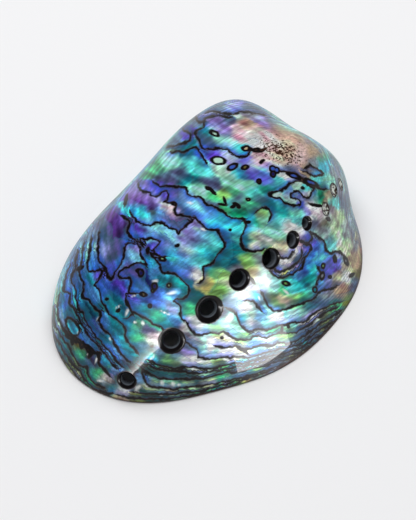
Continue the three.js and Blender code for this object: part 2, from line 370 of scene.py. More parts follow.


# %% [markdown]
# ## The veins
# Between its layers of nacre an abalone lays down dark brown sheets. Polishing cuts through them on a
# slant, so each sheet shows as a thin wandering line, as a contour line does on a map. The layer above the
# line is thin there and looks deep blue or violet, and the layer below it starts bright. The lines of the
# side that the photograph shows are drawn as points in the photograph's own frame, because a random
# pattern would never put the large ones in the right place. Every line is drawn so that its deep side is on
# the left hand of one who walks along it.

# %% Draw the veins of the dome
DOME_VEINS = {
    "far edge": [(184, 130), (188, 133), (191, 136), (189, 140), (184, 143), (177, 145), (169, 147)],
    "top lobe": [(196, 117), (197, 121), (203, 121), (206, 118), (212, 116), (221, 116), (230, 118)],
    "top loop": [
        (204, 122), (203, 127), (197, 130), (195, 134), (198, 138), (200, 143), (202, 148), (209, 150),
        (216, 149), (222, 148), (229, 151), (234, 155), (239, 157), (246, 156), (250, 152),
    ],
    "top edge": [
        (206, 113), (213, 111), (221, 113), (230, 114), (238, 113), (242, 112), (252, 113), (264, 115),
    ],
    "upper hook": [
        (206, 163), (203, 158), (200, 153), (196, 147), (190, 149), (184, 152), (178, 151), (171, 152),
    ],
    "green band": [
        (244, 219), (237, 218), (231, 218), (226, 214), (220, 210), (213, 206), (207, 205), (204, 200),
        (199, 197), (192, 196), (188, 194), (187, 190), (184, 187), (176, 187), (168, 186), (160, 186),
        (154, 182),
    ],
    "down to the fifth hole": [
        (244, 219), (246, 225), (243, 233), (240, 239), (241, 245), (246, 250), (252, 252), (258, 251),
        (264, 249),
    ],
    "blue step": [
        (138, 184), (140, 190), (145, 192), (150, 194), (154, 197), (158, 196), (162, 192), (166, 191),
        (168, 194), (168, 199), (164, 202), (169, 203), (175, 202), (176, 206), (174, 210), (177, 215),
        (184, 215), (191, 217), (196, 218), (200, 223), (205, 228), (210, 230), (216, 230), (219, 233),
        (221, 238), (225, 243), (223, 248), (218, 254), (215, 260), (209, 265), (203, 267), (203, 273),
        (204, 279), (200, 282),
    ],
    "blue tooth": [
        (131, 212), (133, 217), (138, 222), (144, 225), (150, 226), (155, 223), (159, 222), (164, 224),
        (169, 228), (175, 229), (178, 233), (182, 229), (187, 224), (192, 220),
    ],
    "left notch": [
        (122, 216), (127, 219), (130, 223), (127, 229), (129, 235), (134, 240), (139, 243), (143, 244),
    ],
    "narrow bridge": [
        (140, 239), (146, 239), (151, 238), (156, 240), (160, 241), (157, 245), (154, 249), (155, 254),
        (160, 257), (164, 257),
    ],
    "under the bridge": [
        (151, 254), (155, 259), (160, 265), (161, 271), (167, 273), (174, 273), (178, 277), (183, 281),
        (188, 286), (189, 291), (187, 296), (182, 299), (176, 299), (174, 302), (179, 305), (181, 311),
        (180, 317), (184, 321),
    ],
    "purple tongue": [
        (99, 232), (98, 243), (98, 253), (100, 262), (104, 267), (107, 272), (108, 278), (112, 279),
        (115, 273), (119, 267), (122, 262), (124, 255), (125, 247), (129, 243), (135, 244), (140, 247),
        (141, 255), (144, 261), (146, 265),
    ],
    "second tongue": [
        (145, 265), (138, 263), (132, 265), (126, 268), (121, 271), (118, 275), (121, 278), (127, 278),
        (131, 279), (130, 286), (129, 291), (131, 294), (136, 294),
    ],
    "above the second hole": [
        (126, 296), (126, 301), (129, 306), (132, 311), (137, 314), (143, 317), (148, 320), (153, 324),
        (158, 326), (164, 330),
    ],
    "small spur": [(134, 313), (130, 317), (126, 318)],
    "long outer one": [
        (91, 238), (90, 249), (88, 258), (87, 266), (89, 272), (94, 272), (100, 270), (102, 273), (99, 279),
        (95, 285), (98, 289), (100, 295), (101, 301), (105, 307), (108, 313), (112, 317), (117, 320),
        (122, 324), (125, 329), (125, 336), (128, 343), (133, 347), (138, 353),
    ],
    "long outer two": [
        (84, 243), (82, 252), (82, 261), (79, 268), (80, 276), (83, 282), (83, 290), (82, 297), (88, 300),
        (92, 304), (96, 309), (100, 312), (100, 317), (98, 321), (101, 326), (104, 331), (110, 335),
        (113, 341), (117, 347), (120, 353), (126, 359), (130, 362),
    ],
    "long outer three": [
        (78, 250), (76, 259), (75, 268), (72, 276), (72, 284), (76, 290), (75, 297), (78, 303), (78, 309),
        (83, 313), (84, 319), (88, 326), (93, 332), (95, 337), (100, 341), (103, 346), (109, 350), (113, 357),
        (119, 363), (123, 367),
    ],
    "long outer four": [
        (70, 265), (66, 274), (64, 283), (64, 291), (69, 292), (70, 299), (69, 304), (73, 307), (76, 313),
        (79, 319), (82, 325), (86, 332), (91, 339), (97, 345), (102, 350), (107, 357), (112, 364), (117, 369),
    ],
    "outer island": [
        (66, 320), (70, 318), (75, 322), (79, 328), (79, 333), (75, 336), (70, 333), (67, 327), (66, 321),
    ],
    "margin one": [
        (59, 296), (58, 305), (57, 314), (60, 322), (63, 329), (67, 334), (73, 337), (79, 339), (83, 345),
        (88, 349), (94, 353), (99, 354), (98, 361), (101, 366), (105, 370), (110, 376),
    ],
    "margin two": [
        (54, 306), (53, 316), (55, 326), (60, 334), (64, 341), (69, 348), (73, 355), (77, 362), (82, 367),
        (87, 367), (88, 374), (91, 380), (97, 385), (104, 388),
    ],
    "margin three": [
        (51, 318), (52, 329), (56, 338), (60, 345), (64, 352), (69, 359), (74, 366), (80, 371), (83, 378),
        (88, 384), (95, 389), (104, 392), (112, 394),
    ],
    "margin four": [
        (51, 335), (54, 345), (59, 354), (66, 363), (73, 371), (79, 379), (86, 386), (96, 392), (108, 396),
    ],
}
print("veins of the dome:", len(DOME_VEINS))

# %% Draw the veins around and under the row of holes
SIDE_VEINS = {
    "bow of the whorl": [
        (315, 187), (312, 192), (309, 197), (304, 197), (301, 193), (297, 191), (292, 193), (291, 197),
        (297, 199), (301, 202), (298, 205), (291, 205), (285, 202), (279, 199), (273, 197), (269, 195),
        (274, 192), (281, 190), (287, 187), (290, 184), (296, 182), (302, 181),
    ],
    "chain": [(281, 171), (287, 172), (293, 173), (300, 177), (305, 182), (311, 187), (318, 188), (325, 189)],
    "upper chain": [
        (303, 171), (309, 174), (316, 176), (323, 175), (321, 171), (315, 167), (309, 166), (305, 168),
    ],
    "green dome": [(256, 212), (260, 209), (265, 208), (270, 211), (271, 215), (269, 220)],
    "below the seventh": [
        (345, 258), (341, 253), (336, 251), (331, 253), (327, 250), (325, 244), (322, 239), (316, 235),
        (310, 231),
    ],
    "lobe at the seventh": [(301, 241), (306, 243), (311, 241), (312, 236), (309, 232)],
    "fan, outer": [
        (269, 270), (273, 275), (279, 278), (286, 277), (292, 274), (299, 270), (303, 264), (306, 257),
        (310, 251), (311, 246), (306, 244),
    ],
    "fan, inner": [(274, 270), (281, 272), (289, 269), (296, 264), (301, 257), (302, 250)],
    "under the sixth": [(279, 256), (284, 259), (290, 257), (293, 252)],
    "yellow bay": [
        (262, 293), (266, 302), (271, 309), (277, 311), (284, 310), (291, 307), (299, 305), (307, 302),
        (314, 298), (319, 293), (325, 290), (331, 289), (337, 286),
    ],
    "violet spur": [(318, 268), (320, 273), (318, 279), (317, 284)],
    "pale crest": [(245, 301), (250, 301), (255, 304), (259, 308), (262, 311)],
    "from the third hole": [
        (227, 308), (232, 311), (236, 315), (239, 321), (241, 326), (246, 330), (252, 331), (258, 329),
        (266, 330), (273, 328), (280, 325), (286, 325), (292, 323), (298, 322), (304, 322), (309, 318),
        (314, 314), (322, 309), (331, 305), (340, 302),
    ],
    "from the second hole": [
        (187, 324), (190, 330), (195, 334), (202, 335), (210, 333), (218, 333), (224, 332), (229, 336),
        (236, 339), (247, 340), (253, 337), (259, 336), (266, 338), (273, 335), (281, 333), (290, 334),
        (298, 331), (306, 327), (315, 320), (325, 313), (336, 308),
    ],
    "gold thread": [(216, 346), (223, 348), (230, 347), (236, 346)],
    "rim side one": [
        (236, 346), (243, 349), (251, 349), (258, 346), (265, 345), (271, 346), (278, 343), (286, 344),
        (293, 342), (301, 338), (309, 332), (319, 325), (330, 318), (341, 311),
    ],
    "rim side two": [
        (187, 342), (193, 347), (197, 351), (198, 357), (205, 359), (214, 359), (224, 358), (234, 357),
        (244, 358), (254, 356), (264, 353), (275, 350), (286, 348), (296, 346), (306, 340), (316, 333),
        (328, 325), (341, 316),
    ],
    "rim side three": [
        (148, 361), (156, 364), (166, 367), (178, 368), (190, 367), (202, 369), (213, 369), (221, 366),
        (232, 364), (244, 363), (256, 360), (268, 357), (280, 354), (292, 351), (304, 346), (315, 339),
        (327, 330), (340, 320),
    ],
    "rim side four": [
        (141, 362), (149, 366), (157, 369), (167, 371), (179, 371), (191, 373), (203, 373), (215, 371),
        (227, 369), (240, 367), (254, 364), (268, 361), (281, 357), (294, 354), (306, 349), (318, 341),
        (330, 331), (341, 322),
    ],
    "rim side five": [
        (138, 365), (144, 369), (150, 374), (158, 378), (168, 379), (180, 379), (192, 379), (205, 378),
        (218, 375), (232, 372), (246, 370), (260, 367), (274, 363), (288, 359), (300, 354), (312, 347),
        (325, 337), (337, 326),
    ],
    "rim side six": [
        (142, 370), (143, 377), (146, 383), (152, 387), (162, 388), (172, 390), (180, 388), (192, 387),
        (205, 386), (218, 383), (231, 380), (244, 377), (257, 373), (270, 369), (284, 364), (297, 358),
        (310, 350), (324, 340),
    ],
    "rim side seven": [
        (133, 392), (146, 394), (160, 394), (174, 394), (188, 392), (202, 391), (216, 387), (230, 383),
        (245, 379), (260, 374), (276, 369), (292, 362),
    ],
    "rim side eight": [
        (118, 395), (132, 398), (148, 399), (165, 399), (182, 397), (198, 395), (212, 392), (226, 388),
        (240, 383),
    ],
}
print("veins of the side:", len(SIDE_VEINS))

# %% [markdown]
# Islands are where a low bump of one layer was ground away: a closed line round a patch of another colour.
# Blots are where a dark sheet lies flat in the surface. Both are written as tilted ovals.

# %% Place the islands and the dark blots
# Middle in the photograph, half lengths across and down in pixels, turn in degrees (clockwise), colour
ISLANDS = [
    (218.5, 160.5, 6.8, 3.6, 8, "pale mint"), (232.5, 167, 4.8, 2.6, -28, "blue"),
    (245, 167.5, 3.0, 1.9, -15, "olive"), (214.5, 133.5, 4.2, 2.0, 25, "pale mint"),
    (246, 148.5, 3.6, 2.0, 10, "cream"), (174, 203.5, 2.2, 1.4, 20, "cream"),
    (272.5, 168.5, 2.6, 2.6, 0, "blue"), (276.5, 170.5, 2.8, 2.6, 20, "blue"), (273, 174, 2.2, 3, 0, "navy"),
    (294, 176, 6, 2, 24, "blue"), (311, 182.5, 6.6, 2.2, 24, "blue"), (162, 259, 3.2, 1.8, 25, "pale green"),
    (148, 250.5, 1.4, 2.4, 0, "brown"), (141, 273, 2.4, 3.4, 15, "navy"),
    (139.5, 270.5, 2.6, 1.6, 15, "blue"), (154.5, 286.5, 2.4, 3.4, 5, "navy"),
    (152.5, 291, 1.4, 1.4, 0, "leaf"), (169, 285, 2.0, 1.8, -30, "pale green"),
    (143, 294.5, 3, 1.8, 15, "cream"), (286, 283.5, 3.4, 1.8, 15, "leaf"), (323, 266, 1.8, 2.4, 10, "leaf"),
    (322, 276, 2, 3.4, 10, "grey"), (335, 259, 1.2, 2.6, -10, "olive"), (346, 261, 1.5, 3.6, -20, "grey"),
    (315, 289.5, 2.4, 2.8, 0, "teal"), (330, 277, 1.3, 1.3, 0, "sand"), (248, 199.5, 1.6, 1.3, 0, "sand"),
]
# Middle, half lengths and turn, as above
BLOTS = [
    (208, 188.5, 2, 1.4, 20), (211, 190, 2, 0.9, 60), (213.5, 192.5, 2.2, 0.9, 40), (225, 201, 0.7, 2, -20),
    (236, 204, 2.4, 1, 15), (233, 206.5, 1.6, 0.8, -20), (238.5, 206.5, 1.2, 1, 30),
    (222, 204.5, 2.4, 0.6, 5), (259, 181.5, 2.2, 2.2, 0), (177, 245.5, 1.6, 1, -30), (230, 230, 0.9, 0.9, 0),
    (262, 161.5, 1.6, 0.9, -30), (118, 310.5, 1.4, 0.9, -30), (107, 299, 0.9, 0.7, 0),
    (150, 306, 1.8, 1.8, 0), (126, 200, 1, 3.4, 12), (248, 222, 1.6, 0.8, 0), (303, 188, 1, 0.8, 0),
    (282, 329.5, 0.6, 1.6, 0), (288, 326, 0.8, 1.4, -40), (222, 338, 1.2, 1.2, 0), (239, 281.5, 0.8, 0.8, 0),
    (253, 281, 0.8, 1.8, -30), (242, 350, 3.4, 0.5, 30), (250, 148.5, 3, 0.9, 30), (256, 150, 3, 1.4, 0),
    (262, 150.5, 2.4, 0.8, -20), (80, 268, 2.4, 1, -30), (316, 205, 4, 0.8, 10), (328, 219, 1.6, 1.2, 30),
    (352, 275, 2, 1.1, -40), (66, 333, 2.6, 1, 60), (70, 337, 3.4, 1.6, 20), (75, 339, 1.6, 3, -20),
    (79, 341, 3, 1.4, 40), (82, 345, 1.6, 3, 10), (86, 346, 3.4, 1.4, 10), (88, 350, 1.4, 3, -30),
    (92, 351, 3, 1.6, 50), (96, 353, 3.4, 1, 0), (90, 355, 1.2, 2.4, 20), (72, 342, 1, 2, 0),
    (99, 357, 1, 2.4, -10),
]
print("islands:", len(ISLANDS), "blots:", len(BLOTS))

# %% [markdown]
# ## The colours
# Nacre is built of thin clear plates, and their thickness decides which colour comes back: deep blue and
# violet where they are thinnest, then aqua, green and pearl. A palette with a name for each colour is laid
# on in soft round strokes, as with an airbrush, one by one. Noise bends the strokes, so none shows its
# shape.

# %% Mix the palette
PALETTE = {
    "ink": (15, 11, 13), "brown": (62, 38, 26), "navy": (16, 22, 84), "deep blue": (34, 42, 132),
    "blue": (50, 88, 178), "azure": (74, 138, 204), "sky": (120, 190, 232), "cyan": (50, 184, 214),
    "aqua": (86, 214, 206), "teal": (0, 112, 128), "deep teal": (0, 58, 72), "emerald": (0, 134, 98),
    "green": (58, 160, 108), "leaf": (128, 182, 96), "olive": (96, 92, 40), "gold": (196, 166, 84),
    "mint": (140, 224, 188), "pale green": (180, 222, 160), "cream": (226, 208, 166),
    "pearl": (222, 230, 218), "white": (244, 246, 242), "lilac": (146, 134, 210), "violet": (84, 60, 186),
    "purple": (96, 54, 150), "plum": (52, 28, 78), "pink": (228, 196, 198), "peach": (230, 200, 172),
    "slate": (74, 88, 122), "grey": (124, 132, 142), "sand": (172, 148, 118), "pale mint": (176, 214, 194),
}


def linear(name):
    """The colour as a share of light, from its value on a screen."""
    value = np.array(PALETTE[name]) / 255
    return np.where(value <= 0.04045, value / 12.92, ((value + 0.055) / 1.055) ** 2.4)


print("palette:", len(PALETTE), "colours")

# %% Place the strokes of the side in view
# For each colour, the places in the photograph and the radius there, in pixels
STROKES = {
    # Painted shade: ink at (142, 357), (132, 366), (139, 364) and brown at (150, 349), (119, 379) darken the
    # strip under the keel
    "ink": [(142, 357, 4), (132, 366, 4), (139, 364, 6), (165, 366, 4), (150, 370, 4), (150, 395, 4)],
    "brown": [
        (154, 213, 3), (150, 349, 4), (119, 379, 4), (113, 384, 4), (60, 366, 4), (102, 384, 5),
        (362, 262, 5), (185, 369, 4), (327, 208, 4), (323, 222, 4), (275, 265, 3),
    ],
    "navy": [(148, 280, 5), (220, 317, 5), (289, 278, 4)],
    "deep blue": [(184, 211, 6), (170, 266, 6), (145, 251, 5), (115, 292, 7), (280, 170, 5)],
    "blue": [
        (202, 151, 5), (225, 236, 7), (135, 283, 6), (160, 291, 4), (160, 302, 6), (151, 301, 6),
        (131, 238, 6), (95, 262, 6), (106, 286, 7), (67, 302, 5), (304, 269, 5), (311, 254, 5),
    ],
    "azure": [
        (260, 172, 6), (203, 213, 8), (164, 213, 6), (182, 264, 8), (157, 270, 6), (140, 288, 5),
        (170, 295, 5), (176, 318, 6), (184, 270, 6), (126, 258, 6), (86, 264, 6), (78, 280, 5), (89, 290, 6),
        (95, 322, 4), (104, 324, 6), (92, 328, 5), (70, 286, 4), (82, 337, 4), (110, 352, 6), (319, 257, 5),
        (297, 275, 5),
    ],
    "sky": [
        (284, 188, 5), (189, 203, 8), (152, 231, 8), (165, 233, 8), (201, 235, 9), (133, 254, 6),
        (91, 252, 6), (114, 371, 4), (262, 317, 4), (270, 311, 5), (319, 285, 5), (146, 378, 4),
        (256, 346, 6),
    ],
    "cyan": [
        (237, 149, 6), (240, 173, 6), (216, 223, 8), (230, 225, 8), (139, 212, 6), (200, 251, 10),
        (174, 252, 8), (151, 262, 5), (165, 273, 4), (115, 343, 6), (77, 298, 5), (107, 362, 5), (75, 328, 4),
        (257, 295, 4), (299, 285, 5), (315, 266, 5), (251, 220, 5), (325, 166, 6),
    ],
    "aqua": [
        (194, 167, 6), (206, 171, 6), (256, 193, 6), (276, 183, 6), (234, 203, 5), (236, 237, 6),
        (211, 241, 9), (197, 263, 8), (150, 361, 4), (243, 319, 4), (290, 315, 6), (289, 284, 5),
        (310, 289, 4), (249, 229, 5), (278, 222, 7), (282, 204, 5), (297, 219, 6), (329, 244, 6),
        (308, 186, 4), (318, 176, 5), (336, 200, 5), (313, 198, 5),
    ],
    "teal": [
        (207, 133, 5), (191, 145, 6), (192, 179, 7), (232, 248, 8), (222, 258, 7), (231, 262, 5),
        (160, 278, 5), (177, 281, 5), (184, 284, 4), (165, 312, 6), (139, 308, 7), (168, 322, 5),
        (110, 300, 6), (118, 304, 6), (117, 315, 6), (127, 321, 6), (131, 333, 5), (126, 349, 6),
        (135, 352, 5), (90, 276, 5), (86, 310, 6), (94, 312, 5), (113, 331, 6), (104, 339, 6), (73, 313, 5),
        (61, 300, 4), (63, 342, 5), (112, 388, 5), (311, 306, 5), (309, 281, 5), (218, 390, 6), (246, 365, 6),
        (300, 345, 6), (246, 240, 6), (271, 208, 6), (283, 212, 6),
    ],
    "deep teal": [
        (214, 262, 7), (169, 284, 5), (148, 312, 5), (188, 299, 6), (71, 352, 6), (84, 361, 5), (160, 374, 6),
        (180, 375, 6), (192, 377, 6), (207, 376, 6), (165, 398, 5), (277, 354, 6), (252, 377, 6),
        (310, 350, 6), (324, 338, 6), (244, 247, 4),
    ],
    "emerald": [
        (266, 190, 5), (240, 212, 6), (156, 317, 6), (88, 379, 5), (215, 386, 4), (257, 222, 4),
        (320, 195, 6),
    ],
    "green": [
        (152, 166, 8), (214, 195, 5), (226, 208, 5), (234, 191, 5), (247, 206, 8), (211, 274, 7),
        (189, 310, 6), (137, 325, 5), (139, 337, 6), (96, 372, 5), (80, 354, 4), (105, 371, 4), (284, 290, 5),
        (222, 376, 7), (200, 391, 6), (235, 386, 6), (274, 331, 5), (334, 309, 6), (303, 298, 5),
        (324, 157, 5),
    ],
    "leaf": [
        (225, 194, 5), (220, 276, 6), (216, 329, 5), (277, 304, 5), (293, 300, 5), (168, 361, 5),
        (258, 371, 4), (284, 338, 6), (243, 337, 5), (263, 214, 5), (267, 247, 5), (248, 262, 6),
        (222, 290, 5),
    ],
    "olive": [
        (73, 361, 5), (75, 347, 4), (270, 298, 5), (218, 364, 5), (175, 366, 4), (176, 392, 5), (135, 397, 4),
        (323, 315, 5), (326, 324, 5), (296, 356, 6), (349, 303, 6), (361, 270, 6),
    ],
    "gold": [(205, 281, 6), (243, 380, 4), (287, 272, 4)],
    "mint": [
        (224, 142, 7), (168, 162, 6), (200, 189, 6), (231, 181, 6), (246, 186, 6), (55, 314, 5),
        (203, 329, 5), (229, 323, 6), (237, 331, 6), (268, 324, 4), (275, 287, 5), (303, 311, 5),
        (203, 348, 5), (213, 354, 6), (165, 384, 6), (180, 395, 7), (265, 221, 6), (274, 233, 8),
        (296, 213, 6), (328, 182, 5),
    ],
    "pale green": [
        (53, 300, 4), (343, 249, 6), (207, 364, 6), (152, 383, 5), (190, 384, 5), (226, 383, 4),
        (255, 238, 5), (339, 219, 6), (336, 235, 6), (229, 284, 6),
    ],
    "cream": [
        (284, 299, 5), (222, 341, 6), (170, 388, 4), (207, 383, 5), (252, 247, 4), (311, 201, 5),
        (279, 246, 6),
    ],
    # The pearl strokes are partly the nacre's own colour and partly painted highlight
    "pearl": [
        (282, 172, 6), (154, 338, 6), (106, 380, 4), (121, 390, 5), (196, 322, 6), (346, 277, 5),
        (184, 361, 5), (226, 353, 6), (313, 317, 6), (264, 242, 6), (289, 228, 7), (305, 196, 4),
        (243, 295, 4),
    ],
    # The white strokes are painted highlights, where the nacre flashes in the light
    "white": [
        (196, 275, 5), (250, 322, 4), (246, 309, 4), (277, 318, 4), (193, 362, 5), (212, 345, 5),
        (317, 211, 6), (286, 261, 5), (292, 254, 5),
    ],
    "lilac": [
        (214, 121, 8), (262, 122, 6), (223, 131, 6), (252, 166, 7), (230, 159, 8), (148, 197, 8),
        (171, 220, 6), (195, 225, 7), (189, 236, 9), (186, 249, 8), (176, 311, 5), (104, 250, 6),
        (136, 248, 5), (328, 284, 5), (187, 354, 4), (306, 214, 5), (279, 269, 4), (297, 268, 4),
        (268, 167, 5), (235, 107, 6),
    ],
    "violet": [
        (187, 134, 5), (214, 153, 8), (246, 161, 6), (252, 174, 5), (266, 181, 5), (290, 192, 5),
        (160, 190, 7), (141, 230, 6), (159, 250, 5), (187, 273, 6), (131, 301, 6), (113, 268, 5),
        (97, 276, 5), (120, 286, 6), (325, 269, 5), (334, 265, 5), (307, 246, 4), (303, 205, 4),
        (304, 194, 4),
    ],
    "purple": [(173, 193, 6), (143, 205, 7), (166, 244, 6), (132, 271, 6), (115, 226, 6), (118, 246, 7)],
    "plum": [(153, 209, 5), (122, 230, 6), (110, 256, 6), (300, 259, 4)],
    "pink": [
        (240, 135, 7), (258, 137, 7), (272, 141, 9), (300, 156, 9), (265, 160, 8), (172, 212, 6),
        (298, 247, 5),
    ],
    "peach": [(288, 146, 9), (282, 157, 9), (293, 265, 4), (280, 250, 4)],
    "slate": [
        (199, 122, 5), (230, 121, 6), (206, 141, 6), (178, 140, 5), (163, 176, 6), (180, 171, 7),
        (205, 181, 6), (216, 182, 5), (213, 203, 4), (242, 199, 6), (261, 200, 5), (183, 222, 7),
        (171, 304, 6), (108, 240, 7), (94, 236, 6), (146, 329, 6), (142, 347, 5), (126, 361, 4),
        (160, 354, 5), (92, 362, 5), (265, 300, 4), (318, 303, 6), (190, 348, 4), (176, 358, 5),
        (264, 352, 5), (262, 361, 6), (289, 349, 6), (270, 368, 6), (240, 374, 6), (304, 335, 6),
        (314, 328, 6), (357, 286, 6), (313, 222, 5), (234, 301, 5), (345, 200, 6), (291, 167, 6),
        (325, 148, 6), (306, 133, 6),
    ],
    "grey": [
        (205, 107, 5), (237, 269, 4), (254, 306, 4), (257, 325, 4), (238, 304, 4), (264, 292, 4),
        (246, 296, 6), (262, 273, 4), (251, 286, 4), (330, 294, 6), (355, 244, 5), (197, 340, 5),
        (258, 333, 5), (338, 322, 6), (322, 232, 5), (332, 218, 5), (346, 232, 6), (257, 262, 5),
        (232, 293, 5), (315, 163, 6), (335, 171, 6), (341, 184, 6), (348, 212, 5), (352, 229, 5),
        (318, 140, 6), (273, 121, 6), (250, 112, 6), (222, 108, 6),
    ],
    "sand": [
        (246, 125, 6), (313, 150, 7), (300, 137, 6), (281, 131, 6), (73, 378, 4), (254, 272, 5),
        (343, 290, 6), (338, 281, 5), (350, 265, 6), (357, 258, 6), (361, 247, 4), (120, 394, 5),
        (241, 352, 7), (330, 195, 4), (304, 166, 6), (357, 234, 4), (288, 126, 6),
    ],
    "pale mint": [
        (222, 171, 7), (54, 328, 5), (246, 327, 4), (252, 314, 4), (283, 322, 4), (262, 283, 5),
        (268, 289, 4), (292, 314, 5), (200, 365, 5), (205, 372, 5), (272, 341, 6), (277, 197, 4),
        (291, 197, 5), (297, 187, 4), (348, 222, 4), (238, 118, 4),
    ],
}
print("strokes:", sum(len(spots) for spots in STROKES.values()))

# %% [markdown]
# The back isn't in the photograph, so noise lays the bands and colours there. A growth line is the rim of
# the shell when it was younger, so each line is the outline again, drawn in towards the tip of the spire.

# %% Measure how old the shell is at a point
APEX = np.array((37.1, -3.1)) * MM + shift[:2]
GROWTH_LINES, GROWTH_CROWDING = 14, 3.4
rim_angles = np.linspace(0, 360, 361)
rim_outline = dome(rim_angles, np.ones(361))[:, :2] * MM + shift[:2] - APEX
rim_turn = np.unwrap(np.arctan2(rim_outline[:, 1], rim_outline[:, 0]))
rim_length = np.hypot(rim_outline[:, 0], rim_outline[:, 1])


def growth_age(points):
    """The size of the shell when a point was its rim: 0 at the tip of the spire, 1 at the rim of today."""
    away = points[:, :2] - APEX
    turn_of = rim_turn[0] + (np.arctan2(away[:, 1], away[:, 0]) - rim_turn[0]) % (2 * pi)
    return np.hypot(away[:, 0], away[:, 1]) / np.interp(turn_of, rim_turn, rim_length)


def growth(points):
    """The same as a number of growth lines, which crowd towards the rim."""
    return GROWTH_LINES * growth_age(points) ** GROWTH_CROWDING


print("growth lines:", GROWTH_LINES)


# %% Measure every point of the surface
def cloud(points, size, seed):
    """Smooth noise from about -1 to 1, with lumps of the given size in metres."""
    move = Vector((seed * 7.31, seed * 3.17, seed * 5.53))
    return np.array([noise.noise(Vector(p) / size + move) for p in points])


def clouds(points, waves):
    """The sum of several clouds, each with its size, its strength and its seed."""
    return sum(strength * cloud(points, size, seed) for size, strength, seed in waves)


def two_clouds(points, size, seed):
    """A push across and a push down, for bending a pattern."""
    return np.column_stack((cloud(points, size, seed), cloud(points, size, seed + 1)))


# How far a point faces the camera where it comes into view, and where it is flat enough for the strokes
IN_VIEW, FLAT_ON = (-0.06, 0.08), (0.04, 0.28)
WOBBLE_SIZE, SHIVER_SIZE = 9 * MM, 2.6 * MM
places = read_vectors(shell.data, "co")
normals = read_vectors(shell.data, "normal")
pixels = in_photo(places)
view = np.array(camera.location) - places
view /= np.linalg.norm(view, axis=1, keepdims=True)
facing = np.sum(view * normals, axis=1)
# The outside is where the surface looks away from this place in the middle of the shell
middle = np.array((*shift[:2], 12 * MM))
outer = np.sum((places - middle) * normals, axis=1) > 0
seen = np.where(outer, rise(facing, *IN_VIEW), 0)
in_view = np.nonzero(seen > 0)[0]
# Where the surface turns away from the camera the strokes would smear, so noise takes their place
flat_on = seen * rise(facing, *FLAT_ON)
wobble = two_clouds(places, WOBBLE_SIZE, 1)
shiver = two_clouds(places, SHIVER_SIZE, 3)
wobble_3d = np.column_stack((wobble, shiver[:, :1]))
print("points:", len(places), "in view:", len(in_view))

# %% [markdown]
# A vein is thinner than the triangles of the mesh, so it can't be painted on the vertices. The distance to
# it can be kept there, because it changes evenly between them, and the material draws the line where it is
# zero.

# %% Measure how far every point is from the veins
VEIN_REACH, JAGGED = 14, 1.1
PIXELS_PER_MM = PIXELS_PER_METRE * MM


def rounded(points):
    """The same line with a point added between every two, on a Catmull-Rom curve."""
    line = np.array(points, float)
    ends = np.vstack((2 * line[0] - line[1], line, 2 * line[-1] - line[-2]))
    between = (9 * (ends[1:-2] + ends[2:-1]) - ends[:-3] - ends[3:]) / 16
    result = np.empty((2 * len(line) - 1, 2))
    result[::2], result[1::2] = line, between
    return result


def beside(line, spots):
    """Signed distance of spots to a line, below zero on the left hand of one who walks along it."""
    start, step = line[:-1], np.diff(line, axis=0)
    length = np.sum(step**2, axis=1)
    to_spot = spots[:, None] - start[None]
    share = np.clip(np.sum(to_spot * step, axis=2) / length, 0, 1)
    far = np.sum((to_spot - share[..., None] * step) ** 2, axis=2)
    across = (step[:, 0] * to_spot[..., 1] - step[:, 1] * to_spot[..., 0]) / np.sqrt(length)
    # At a corner both pieces are equally far, and the one that the spot lies more beside tells the side
    best = np.argmin(far - 1e-4 * np.abs(across), axis=1)
    pick = np.arange(len(spots)), best
    return np.sqrt(far[pick]) * np.where(across[pick] < 0, -1, 1)


spots = pixels[in_view] + JAGGED * shiver[in_view]
found = np.full(len(in_view), float(VEIN_REACH))
for points in (*DOME_VEINS.values(), *SIDE_VEINS.values()):
    line = rounded(points)
    low, high = line.min(axis=0) - VEIN_REACH, line.max(axis=0) + VEIN_REACH
    close = np.nonzero(np.all((spots > low) & (spots < high), axis=1))[0]
    if len(close):
        distance = beside(line, spots[close])
        nearer = np.abs(distance) < np.abs(found[close])
        found[close[nearer]] = distance[nearer]
vein = np.full(len(places), float(VEIN_REACH))
vein[in_view] = found / PIXELS_PER_MM
print("points on a vein:", int(np.sum(np.abs(vein) < 0.3)))

# %% Draw the veins of the far side with noise
BAND_WAVES = [(16 * MM, 1.1, 5), (6 * MM, 0.5, 6), (2.5 * MM, 0.2, 7)]
SLOPE_STEP, GENTLEST, FAR_REACH = 0.2 * MM, 0.02, 6
# How much the far veins thin, in millimetres, where they do so, and how far they reach into view
THINNING, THIN_FACING, LAST_FACING = 0.75, (-0.2, 0.25), 0.3


def banded(points):
    """The growth lines bent by noise, as grinding bends them."""
    return growth(points) + clouds(points, BAND_WAVES)


level = banded(places)
slope = np.column_stack([banded(places + SLOPE_STEP * axis) - level for axis in np.eye(3)]) / SLOPE_STEP * MM
along_normal = np.sum(slope * normals, axis=1, keepdims=True)
steepness = np.maximum(np.linalg.norm(slope - along_normal * normals, axis=1), GENTLEST)
far_vein = (level - np.round(level)) / steepness
hidden = seen < 0.5
# They grow thin where the side in view begins, and fade out a little way into it
thinned = far_vein + np.sign(far_vein) * THINNING * rise(facing, *THIN_FACING)
swap = hidden | (outer & (facing < LAST_FACING) & (np.abs(thinned) < np.abs(vein)))
vein[swap] = np.clip(thinned[swap], -FAR_REACH, FAR_REACH)
# Halfway between two far veins the signed distance jumps from one side to the other and passes zero there.
# The material asks for the plain distance as well, so that no false line shows in that place.
near_vein = np.abs(vein)
print("far side points:", int(hidden.sum()))

# %% Colour the far side and the hollow
FAR_PALETTE = [
    "violet", "blue", "azure", "teal", "cyan", "aqua", "mint", "green", "teal", "deep blue", "lilac", "sky",
]
HOLLOW_PALETTE = ["pearl", "mint", "aqua", "lilac", "pink", "pearl", "sky", "pale green", "pearl"]
FAR_STRETCH, COLOUR_BEND = (0.55, 1, 1), 0.4 * MM


